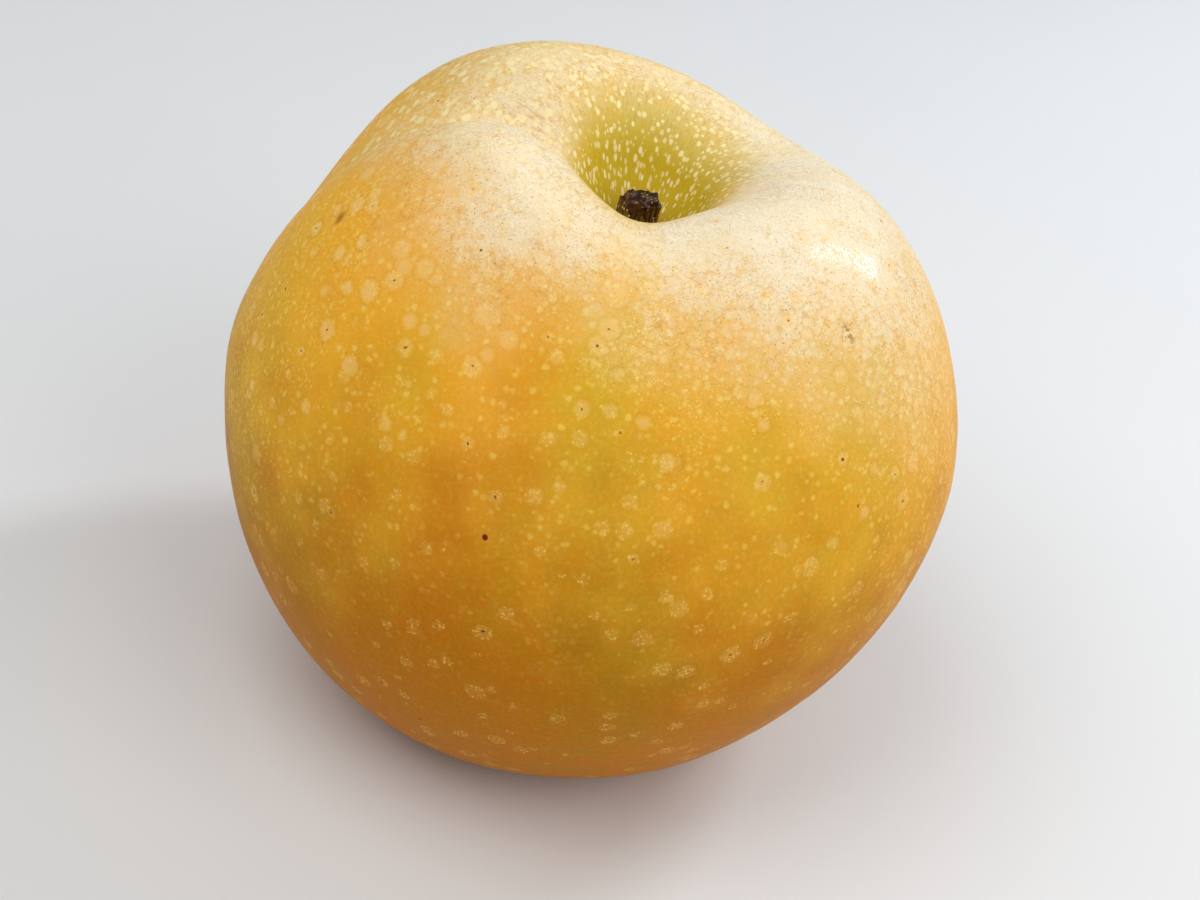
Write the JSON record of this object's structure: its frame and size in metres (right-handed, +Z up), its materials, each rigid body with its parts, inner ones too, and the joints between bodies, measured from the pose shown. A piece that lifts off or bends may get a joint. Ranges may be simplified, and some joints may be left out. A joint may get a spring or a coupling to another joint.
{
  "type": "nashi pear",
  "caption": "round golden nashi pear with a lobed shoulder, a deep stalk hollow, a short woody stalk and a flat ring to rest on",
  "frame": {"origin": "on the resting surface, at the middle of the fruit's footprint box", "axes": "+Z up along the fruit's axis, -Y towards the front with the shallow valley, +X towards the lower right shoulder"},
  "size_m": [0.1014, 0.1004, 0.0898],
  "materials": {
    "skin": "satin",
    "stalk": "matte"
  },
  "bodies": {
    "root": {"fruit": "skin", "stalk": "stalk"}
  },
  "joints": []
}
